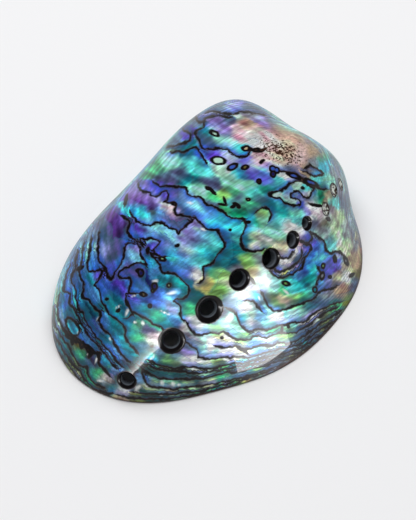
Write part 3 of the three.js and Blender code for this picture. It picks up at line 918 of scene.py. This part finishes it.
def from_palette(names, value):
    """The colours of a row of names, blended along it while value goes from 0 to 1."""
    colours = np.array([linear(name) for name in names])
    place = np.clip(value, 0, 1) * (len(names) - 1)
    return np.column_stack([np.interp(place, np.arange(len(names)), colours[:, i]) for i in range(3)])


bent = places + COLOUR_BEND * np.column_stack((shiver, shiver[:, :1]))
far_value = 0.5 + 0.75 * cloud(bent * FAR_STRETCH, 13 * MM, 8) + 0.35 * cloud(bent, 4.5 * MM, 9)
hollow_value = 0.5 + clouds(bent, [(22 * MM, 0.8, 10), (5 * MM, 0.25, 11)])
layer = from_palette(FAR_PALETTE, far_value)
layer[~outer] = from_palette(HOLLOW_PALETTE, hollow_value[~outer])
print("points of the hollow:", int(np.sum(~outer)))

# %% Lay on the strokes
# The fibres run along the shell, which is up and to the right in the photograph, and they tear the strokes
FIBRE, FIBRE_STRETCH = np.array((0.862, -0.507)), (0.1, 1, 1)
TEARS = [(1.1 * MM, 2.5, 12), (3.2 * MM, 2, 13)]
# On the upper part of the dome the layers lie down and to the right, elsewhere along the growth lines
DOME_LIE = np.array((0.92, 0.39))
STROKE_STRETCH, STROKE_FALL, STROKE_WOBBLE, STROKE_SHIVER = 1.5, 1.9, 4, 1.4


def on_dome(spots):
    """1 on the upper part of the dome, 0 near the rim in front and at both ends."""
    return rise(spots[:, 1], 300, 240) * rise(spots[:, 0], 310, 270) * rise(spots[:, 0], 115, 145)


def of_length_one(rows):
    return rows / np.maximum(np.linalg.norm(rows, axis=1, keepdims=True), 1e-9)


stroke_places = np.array([(x, y) for spots in STROKES.values() for x, y, _ in spots])
stroke_sizes = np.array([radius for spots in STROKES.values() for _, _, radius in spots])
stroke_colours = np.array([linear(name) for name, spots in STROKES.items() for _ in spots])
nearest = in_view[[int(np.argmin(np.linalg.norm(pixels[in_view] - p, axis=1))) for p in stroke_places]]
contour = of_length_one(np.cross(normals[nearest], slope[nearest]))
lie = of_length_one(in_photo(places[nearest] + contour * MM) - in_photo(places[nearest]))
lie = np.where(on_dome(stroke_places)[:, None] > 0.5, DOME_LIE, lie)
torn = clouds(places * FIBRE_STRETCH, TEARS)
spots = pixels + STROKE_WOBBLE * wobble + STROKE_SHIVER * shiver + torn[:, None] * FIBRE
apart = spots[in_view, None] - stroke_places[None]
along = np.sum(apart * lie, axis=2)
across = apart[..., 0] * lie[:, 1] - apart[..., 1] * lie[:, 0]
away = np.hypot(along / STROKE_STRETCH, across) / stroke_sizes
weights = np.exp(-STROKE_FALL * away**2) + 1e-9
drawn = (weights @ stroke_colours) / weights.sum(axis=1, keepdims=True)
share = flat_on[in_view, None]
layer[in_view] = layer[in_view] * (1 - share) + drawn * share
print("mean colour of the strokes:", drawn.mean(axis=0).round(3))

# %% [markdown]
# The layers are rippled as well, so narrow bands of bright green and dim violet run along the growth lines,
# and across the dome along its layers. One noise that is stretched along them makes all these bands, where
# strokes would have to be drawn by the hundred.

# %% Fold the layers
FOLD_WAVES = [(3.6 * MM, 1.3, 14), (1.8 * MM, 0.9, 15)]
DOME_FOLD_WAVES = [(3.2 * MM, 1.3, 17), (1.5 * MM, 0.9, 18)]
HUE_SIZE, HUE_SEED = 5 * MM, 16
FOLD_REACH, FOLD_TURN, FOLD_BEND = 80 * MM, 14 * MM, 1.4 * MM
DOME_FOLD_STRETCH, DOME_FOLD_BEND = 3.2, 0.6 * MM
FOLD_FREE = 22 * MM
CREST, HUE = 1.15 * np.array((0.6, 1.0, 0.7)), 0.4 * np.array((0.7, -0.35, 0.25))
DARKEST, BRIGHTEST = 0.002, 0.7
from_apex = places[:, :2] - APEX
to_apex = np.hypot(from_apex[:, 0], from_apex[:, 1])
turn_of = np.arctan2(from_apex[:, 1], from_apex[:, 0])
ring = 0.5 * (FOLD_REACH * growth_age(places) + to_apex)
folded = np.column_stack((ring, FOLD_TURN * np.cos(turn_of), FOLD_TURN * np.sin(turn_of)))
folded += FOLD_BEND * wobble_3d
across_lie = np.array((-DOME_LIE[1], DOME_LIE[0]))
slanted = np.column_stack((pixels @ DOME_LIE / DOME_FOLD_STRETCH, pixels @ across_lie, np.zeros(len(pixels))))
slanted = slanted / PIXELS_PER_METRE + DOME_FOLD_BEND * wobble_3d
fold, dome_fold = clouds(folded, FOLD_WAVES), clouds(slanted, DOME_FOLD_WAVES)
fold += (dome_fold - fold) * flat_on * on_dome(pixels)
calm = rise(to_apex, 0, FOLD_FREE)
hue = cloud(folded, HUE_SIZE, HUE_SEED) * calm
layer = layer * np.exp((fold * calm)[:, None] * CREST + hue[:, None] * HUE)
layer = np.clip(layer, DARKEST, BRIGHTEST)
print("mean colour:", layer.mean(axis=0).round(3))

# %% [markdown]
# Over the colours come the marks that have an edge: the islands, the blots, the rings round the holes, the
# white glints and the specks on the spire. The glints and the grey rings in the throats are painted
# highlights. Each one is kept as a distance or a share on the vertices, and the material turns it into paint.
# So the edges can be ragged and stay sharp between two vertices.

# %% Place the islands and the blots on the surface
ISLAND_FAR, ISLAND_RAGGED = 3.0, 0.7


def oval_distance(spots, x, y, half_length, half_width, tilt):
    """The distance from the middle of a tilted oval, which is 1 on its outline."""
    c, s = cos(radians(tilt)), sin(radians(tilt))
    dx, dy = spots[:, 0] - x, spots[:, 1] - y
    return np.hypot((dx * c + dy * s) / half_length, (dy * c - dx * s) / half_width)


island = np.full(len(places), ISLAND_FAR)
patch = layer.copy()
spots = pixels + ISLAND_RAGGED * shiver
for *oval, name in ISLANDS + [(*blot, "ink") for blot in BLOTS]:
    distance = (oval_distance(spots, *oval) - 1) * min(oval[2:4]) / PIXELS_PER_MM
    nearer = (seen > 0) & (distance < island)
    island[nearer] = distance[nearer]
    patch[nearer] = linear(name)
print("points on an island:", int(np.sum(island < 0)))

# %% Measure the mouths and the throats of the holes
# How far outside its mouth and its throat a point is, in millimetres, at the nearest hole
GAP_FAR, HOLE_DEPTH, BLIND_THROAT = 5.0, 6, 0.45
mouth_gap = np.full(len(places), GAP_FAR)
throat_gap = np.full(len(places), GAP_FAR)
sealed = np.zeros(len(places))
for seat, axis, mouth, throat in hole_frames:
    offset = (places - seat) / MM
    depth = -(offset @ axis)
    gap = np.linalg.norm(offset + depth[:, None] * axis, axis=1) - mouth
    nearer = (gap < mouth_gap) & (np.abs(depth) < HOLE_DEPTH)
    mouth_gap[nearer] = gap[nearer]
    throat_gap[nearer] = gap[nearer] + mouth - (throat or BLIND_THROAT * mouth)
    sealed[nearer] = throat == 0
print("points in the holes:", int(np.sum(mouth_gap < 0)))

# %% Place the glints and the specks
# Middle, half length, half width and tilt of each glint, a painted highlight: white where a bent layer
# catches the light
GLINTS = [
    (127, 312, 5, 1.8, -65), (134, 295.5, 4, 1, -20), (118, 307, 4, 1, -30), (155, 281, 3.5, 1.6, -10),
    (172, 293, 6, 1.8, -10), (135, 322.5, 2.5, 1.4, -20), (143, 323, 2, 2.4, 0), (166, 313, 7, 1, 20),
    (98, 318.5, 3, 0.9, -60), (79, 331.5, 3, 1.2, -50), (87, 355, 2.4, 0.8, -40), (96.5, 360, 4.5, 1, -70),
    (100, 381, 4, 1.4, 5), (110, 339, 2.4, 1.4, 70), (196, 276, 6, 1.3, 32), (152, 358, 5, 1.2, -60),
    (162, 383, 3.4, 2.6, 80), (173, 383.5, 3, 2.2, 80), (179, 385, 2, 1.6, 0), (147, 386, 3.5, 1.4, 30),
    (138, 388, 5, 2, -45), (136, 392, 2.4, 1.6, 0), (194, 388.5, 2.4, 0.8, 30), (161, 395, 2.4, 1, 0),
    (195, 370, 5, 1, 0), (193, 359, 3, 4, 10), (259, 298, 1.2, 2.6, -20), (286, 292, 5, 1.6, 35),
    (268, 284, 2.4, 5, 10), (212, 342, 5, 2.4, 0), (230, 318, 4, 6, 40), (318, 212, 4, 1.4, 40),
    (311, 218, 4, 1.6, 30), (293, 225, 5, 1.8, 25), (270, 240, 4, 1.5, -20), (203, 229, 4, 1.4, 20),
    (190, 203, 4, 1.4, 10),
]
# The same for the part of the spire where thin dark layers were ground through to specks
SPECKLED = (281, 151, 36, 17, 24)
GLINT_RAGGED = 0.8


def soft_oval(spots, oval):
    """1 in the middle of the oval and less and less away from it."""
    return seen * np.exp(-oval_distance(spots, *oval) ** 2)


glint = np.max([soft_oval(pixels + GLINT_RAGGED * shiver, oval) for oval in GLINTS], axis=0)
speckle = soft_oval(pixels, SPECKLED)
print("glints:", len(GLINTS))

# %% Keep the measures on the vertices
MEASURES = {
    "layer": layer, "patch": patch, "vein": vein, "near_vein": near_vein, "island": island,
    "mouth_gap": mouth_gap, "throat_gap": throat_gap, "sealed": sealed, "speckle": speckle, "glint": glint,
    "growth": growth(places),
}
for name, values in MEASURES.items():
    if values.ndim == 1:
        attribute = shell.data.attributes.new(name, "FLOAT", "POINT")
        attribute.data.foreach_set("value", values.astype(np.float32))
    else:
        attribute = shell.data.attributes.new(name, "FLOAT_COLOR", "POINT")
        with_alpha = np.column_stack((values, np.ones(len(values))))
        attribute.data.foreach_set("color", with_alpha.astype(np.float32).ravel())
print("measures:", list(MEASURES))

# %% [markdown]
# ## The nacre
# Under the polish are fibres of colour that run away from the spire, thin brown veins with a deep blue
# side, and fine growth lines. They are painted over the stroke colours one after the other, like glazes:
# each layer of paint is a colour and a share, and the share comes from a measure or from noise. A helper
# that adds the nodes keeps every layer of paint to a line or two.

# %% Make a helper for the nodes
class Paint:
    """Adds nodes to a tree. Its colour, lit, is what the layers of paint give so far."""

    def __init__(self, tree):
        self.tree = tree

    def add(self, kind, **values):
        node = self.tree.nodes.new(kind)
        for name, value in values.items():
            setattr(node, name, value)
        return node

    def feed(self, socket, value):
        """Links the socket to the output of a node, or sets it to a plain value."""
        if isinstance(value, bpy.types.NodeSocket):
            self.tree.links.new(value, socket)
        else:
            socket.default_value = value

    def measure(self, name, output="Fac"):
        return self.add("ShaderNodeAttribute", attribute_name=name).outputs[output]

    def compute(self, operation, *inputs):
        node = self.add("ShaderNodeMath", operation=operation)
        for socket, value in zip(node.inputs, inputs):
            self.feed(socket, value)
        return node.outputs[0]

    def ramp(self, value, low, high, start=0.0, end=1.0):
        """Goes smoothly from start to end while value goes from low to high."""
        node = self.add("ShaderNodeMapRange", interpolation_type="SMOOTHSTEP")
        names = ("Value", "From Min", "From Max", "To Min", "To Max")
        for name, given in zip(names, (value, low, high, start, end)):
            self.feed(node.inputs[name], given)
        return node.outputs["Result"]

    def grain(self, scale, detail=2.0, stretch=(1, 1, 1), roughness=0.5):
        """Noise in the object's own frame; scale is lumps per metre."""
        mapping = self.add("ShaderNodeMapping")
        self.feed(mapping.inputs["Vector"], self.add("ShaderNodeTexCoord").outputs["Object"])
        node = self.add("ShaderNodeTexNoise")
        self.feed(node.inputs["Vector"], mapping.outputs[0])
        mapping.inputs["Scale"].default_value = stretch
        for name, value in (("Scale", scale), ("Detail", detail), ("Roughness", roughness)):
            node.inputs[name].default_value = value
        return node.outputs["Fac"]

    def brighter(self, factor):
        node = self.add("ShaderNodeVectorMath", operation="SCALE")
        self.feed(node.inputs[0], self.lit)
        self.feed(node.inputs["Scale"], factor)
        return node.outputs[0]

    def mix(self, share, first, second, blend="MIX"):
        """Mixes two colours, each the output of a node, a plain colour or a name of the palette."""
        node = self.add("ShaderNodeMix", data_type="RGBA", blend_type=blend)
        for place, value in zip((0, 6, 7), (share, first, second)):
            self.feed(node.inputs[place], (*linear(value), 1) if isinstance(value, str) else value)
        return node.outputs[2]

    def cover(self, share, colour):
        self.lit = self.mix(share, self.lit, colour)


# %% Paint the fibres
# Lumps per metre, detail, and stretch along the shell
FINE_FIBRES, BROAD_FIBRES = (1400, 3.0, (0.06, 1, 1)), (420, 3.0, (0.1, 1, 1))
STRIPE_WAVES, STRIPE_BEND = 11.0, 5.0
LINE_WAVES = 7.0


def paint_fibres(paint):
    """Streaks, stripes and folds of light and shade. Gives back the broad streaks."""
    fine, broad = paint.grain(*FINE_FIBRES), paint.grain(*BROAD_FIBRES)
    paint.lit = paint.brighter(paint.ramp(fine, 0.36, 0.64, 0.8, 1.2))
    paint.lit = paint.brighter(paint.ramp(broad, 0.32, 0.66, 0.86, 1.12))
    bend = paint.compute("MULTIPLY", broad, STRIPE_BEND)
    stripe = paint.compute("SINE", paint.compute("MULTIPLY_ADD", paint.measure("growth"), STRIPE_WAVES, bend))
    paint.lit = paint.brighter(paint.ramp(stripe, -1.0, 1.0, 0.74, 1.2))
    return broad


def paint_growth_lines(paint, broad):
    """Thin brown lines that come and go with the broad streaks."""
    wave = paint.compute("SINE", paint.compute("MULTIPLY", paint.measure("growth"), LINE_WAVES))
    line = paint.ramp(paint.compute("ABSOLUTE", wave), 0.4, 0.0, 0, 0.35)
    share = paint.compute("MULTIPLY", line, paint.ramp(broad, 0.4, 0.6))
    paint.cover(share, paint.mix(0.8, paint.lit, "brown"))


print("fibres per metre:", FINE_FIBRES[0], "and", BROAD_FIBRES[0])

# %% Paint the veins
# Each row is where a share begins and where it ends, in millimetres from the vein, and its two values.
# The deep side is below zero.
DEEP_SIDE, NAVY_SIDE, BELOW_ZERO = (-3.6, -0.3, 0, 0.95), (-1.0, -0.1, 0, 0.9), (0.1, 0.0)
BRIGHT_SIDE, OFF_THE_VEIN, NEAR_A_VEIN = (1.6, 0.5, 0, 0.45), (0.1, 0.3), (1.5, 1.0)
BROWN_EDGE, INK_LINE, LINE_WIDTH = (0.6, 0.1, 0, 0.8), (0.22, 0.0), (0.3, 0.7, 0.03, 0.36)
DEEP_TINT = (0.3, 0.27, 0.85, 1)


def paint_sides(paint, vein, near):
    """The deep blue side and the bright side of every vein."""
    below = paint.ramp(vein, *BELOW_ZERO)
    deep = paint.mix(1.0, paint.lit, DEEP_TINT, "MULTIPLY")
    paint.cover(paint.compute("MULTIPLY", paint.ramp(vein, *DEEP_SIDE), below), deep)
    paint.cover(paint.compute("MULTIPLY", paint.ramp(vein, *NAVY_SIDE), below), "navy")
    bright = paint.compute("MULTIPLY", paint.ramp(vein, *BRIGHT_SIDE), paint.ramp(near, *OFF_THE_VEIN))
    paint.cover(bright, paint.mix(0.2, paint.brighter(1.3), "aqua"))


def paint_lines(paint, vein, near):
    """The brown line itself, which grows wide and narrow, with a core of ink."""
    width = paint.ramp(paint.grain(220), *LINE_WIDTH)
    off_line = paint.compute("SUBTRACT", paint.compute("ABSOLUTE", vein), width)
    close = paint.ramp(near, *NEAR_A_VEIN)
    paint.cover(paint.compute("MULTIPLY", paint.ramp(off_line, *BROWN_EDGE), close), "brown")
    paint.cover(paint.compute("MULTIPLY", paint.ramp(off_line, *INK_LINE), close), "ink")


print("deep side:", -DEEP_SIDE[0], "mm wide")

# %% Paint the islands and the specks
SPECK_GRAIN, SPECK_HELP, SPECK_EDGE = (1000, 3.0, (0.8, 1, 1), 0.75), 0.31, (0.755, 0.785)


def paint_islands(paint, wander):
    """The patches, a dark line round each, and the specks of the spire."""
    island = paint.compute("ADD", paint.measure("island"), paint.compute("MULTIPLY", wander, 0.4))
    off_line = paint.compute("ABSOLUTE", island)
    paint.cover(paint.ramp(island, 0.05, -0.1), paint.measure("patch", "Color"))
    paint.cover(paint.ramp(off_line, 0.62, 0.22, 0, 0.8), "brown")
    paint.cover(paint.ramp(off_line, 0.43, 0.19), "ink")
    specks = paint.compute("MULTIPLY_ADD", paint.measure("speckle"), SPECK_HELP, paint.grain(*SPECK_GRAIN))
    paint.cover(paint.ramp(specks, *SPECK_EDGE), "brown")


print("specks per metre:", SPECK_GRAIN[0])

# %% Paint the holes and the bottom of the rim
RIM_BROWN = (1.6 * MM, 0.5 * MM, 0, 0.85)


def paint_holes(paint, wander):
    """A dark dish with a grey ring of painted highlight round each open throat, and a swirl of pearl in the
    sealed ones.
    """
    mouth = paint.compute("ADD", paint.measure("mouth_gap"), paint.compute("MULTIPLY", wander, 0.3))
    throat, sealed = paint.measure("throat_gap"), paint.measure("sealed")
    # The pearl of the swirl is partly the pits' own colour and partly a painted highlight
    swirl = paint.mix(paint.ramp(paint.grain(900, 3.0), 0.44, 0.58), "brown", "pearl")
    dish = paint.mix(sealed, "ink", swirl)
    paint.cover(paint.ramp(mouth, 0.45, 0.0, 0, 0.9), "brown")
    paint.cover(paint.ramp(mouth, 0.2, -0.05), dish)
    pit_edge = paint.ramp(paint.compute("ABSOLUTE", mouth), 0.55, 0.2, 0, 0.85)
    paint.cover(paint.compute("MULTIPLY", pit_edge, sealed), "ink")
    # A painted highlight: a grey ring where the dish steps down into the throat
    paint.cover(paint.ramp(paint.compute("ABSOLUTE", throat), 0.3, 0.1, 0, 0.7), "grey")
    paint.cover(paint.ramp(throat, 0.05, -0.1), dish)


def paint_rim(paint):
    """Brown over the lowest part of the rim, fading out upwards."""
    place = paint.add("ShaderNodeSeparateXYZ")
    paint.feed(place.inputs[0], paint.add("ShaderNodeTexCoord").outputs["Object"])
    paint.cover(paint.ramp(place.outputs["Z"], *RIM_BROWN), "brown")


print("rim: brown up to", RIM_BROWN[0] / MM, "mm")

# %% Build the nacre
WANDER_GRAIN, WANDER_WIDTH = (650, 2.5, (1, 1, 1), 0.55), 1.5
BUMP = {"Strength": 0.25, "Distance": 0.2 * MM}
POLISH = {
    "Metallic": 0.1, "Roughness": 0.35, "Specular IOR Level": 0.1,
    "Coat Weight": 0.32, "Coat Roughness": 0.02, "Coat IOR": 1.4,
}


def make_nacre():
    material = bpy.data.materials.new("nacre")
    material.use_nodes = True
    paint = Paint(material.node_tree)
    paint.lit = paint.measure("layer", "Color")
    broad = paint_fibres(paint)
    # The veins wander from their measured place by as much as this, in millimetres
    wander = paint.compute("MULTIPLY_ADD", paint.grain(*WANDER_GRAIN), WANDER_WIDTH, -WANDER_WIDTH / 2)
    vein = paint.compute("ADD", paint.measure("vein"), wander)
    near = paint.measure("near_vein")
    paint_sides(paint, vein, near)
    # Painted highlights: the glints turn the colour white
    paint.cover(paint.ramp(paint.measure("glint"), 0.15, 1.0, 0, 0.85), "white")
    paint_growth_lines(paint, broad)
    paint_lines(paint, vein, near)
    paint_islands(paint, wander)
    paint_holes(paint, wander)
    paint_rim(paint)

    bump = paint.add("ShaderNodeBump")
    paint.feed(bump.inputs["Height"], broad)
    shader = material.node_tree.nodes["Principled BSDF"]
    paint.feed(shader.inputs["Base Color"], paint.lit)
    paint.feed(shader.inputs["Normal"], bump.outputs[0])
    for node, values in ((bump, BUMP), (shader, POLISH)):
        for name, value in values.items():
            node.inputs[name].default_value = value
    return material


shell.data.materials.clear()
shell.data.materials.append(make_nacre())
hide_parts("shell")
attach(shell, "root")
print("nodes of the nacre:", len(shell.data.materials[0].node_tree.nodes))

# %% [markdown]
# ## The studio
# The shell lies on a white table under a large soft light. Two glowing cards stand low, in front and at the
# left, and only reflections see them: a bright card is the simplest way to give a polished thing its
# highlight. The cards fade towards one edge, so the highlight ends softly there.

# %% Make the table
def make_table(colour):
    bpy.ops.object.select_all(action="DESELECT")
    bpy.ops.mesh.primitive_plane_add(size=6)
    table = bpy.context.object
    table.name = "table"
    material = bpy.data.materials.new("white table")
    material.use_nodes = True
    shader = material.node_tree.nodes["Principled BSDF"]
    shader.inputs["Base Color"].default_value = colour
    shader.inputs["Roughness"].default_value = 0.9
    # Without this the table would mirror the cards
    shader.inputs["Specular IOR Level"].default_value = 0.0
    table.data.materials.append(material)
    return table


print("table:", make_table((0.865, 0.86, 0.865, 1)).name)


# %% Hang the light and stand the cards
def hang_light(place, size, power):
    """A soft square light that is aimed at the shell and isn't seen in the polish."""
    light = bpy.data.lights.new("sky", "AREA")
    light.shape = "RECTANGLE"
    light.size = light.size_y = size
    light.energy = power
    panel = bpy.data.objects.new("sky", light)
    bpy.context.scene.collection.objects.link(panel)
    turn = (-Vector(place)).to_track_quat("-Z", "Y").to_matrix()
    panel.matrix_world = Matrix.Translation(place) @ turn.to_4x4()
    panel.visible_glossy = panel.visible_camera = False


def add_card(name, corners, glow):
    """A flat card that only the polish sees. Its light is the square of the glow between its corners."""
    mesh = bpy.data.meshes.new(name)
    mesh.from_pydata([Vector(corner) * MM for corner in corners], [], [(0, 1, 2, 3)])
    fade = mesh.attributes.new("glow", "FLOAT", "POINT")
    fade.data.foreach_set("value", glow)
    card = bpy.data.objects.new(name, mesh)
    bpy.context.scene.collection.objects.link(card)
    material = bpy.data.materials.new(name)
    material.use_nodes = True
    paint = Paint(material.node_tree)
    paint.tree.nodes.clear()
    light = paint.add("ShaderNodeEmission")
    paint.feed(light.inputs["Strength"], paint.compute("POWER", paint.measure("glow"), 2.0))
    paint.feed(paint.add("ShaderNodeOutputMaterial").inputs[0], light.outputs[0])
    mesh.materials.append(material)
    card.visible_camera = card.visible_diffuse = card.visible_shadow = False


FRONT_CARD = [(-26, -123, 0), (36, -123, 0), (36, -123, 66), (-17, -123, 66)]
LEFT_CARD = [(-102, -147, 93), (-209, -58, 16), (-227, -29, 66), (-120, -118, 143)]
hang_light((0.1, 0.2, 1.2), 1.3, 15.3)
add_card("front card", FRONT_CARD, (6.4, 6.4, 0, 0))
add_card("left card", LEFT_CARD, (7.8, 6, 0, 0))
print("lights:", [light.name for light in bpy.data.lights])

# %% Fill the room with light
ROOM_LIGHT, ROOM_IN_POLISH = 0.3, 0.08
world = bpy.data.worlds.new("studio")
world.use_nodes = True
room = Paint(world.node_tree)
background = room.tree.nodes["Background"]
background.inputs["Color"].default_value = (0.95, 0.97, 1, 1)
# The polish mirrors a dim room, so that the colours stay deep
in_polish = room.add("ShaderNodeLightPath").outputs["Is Glossy Ray"]
room.feed(background.inputs["Strength"], room.ramp(in_polish, 0, 1, ROOM_LIGHT, ROOM_IN_POLISH))
bpy.context.scene.world = world
bpy.context.scene.view_settings.view_transform = "Standard"
print("world:", world.name)
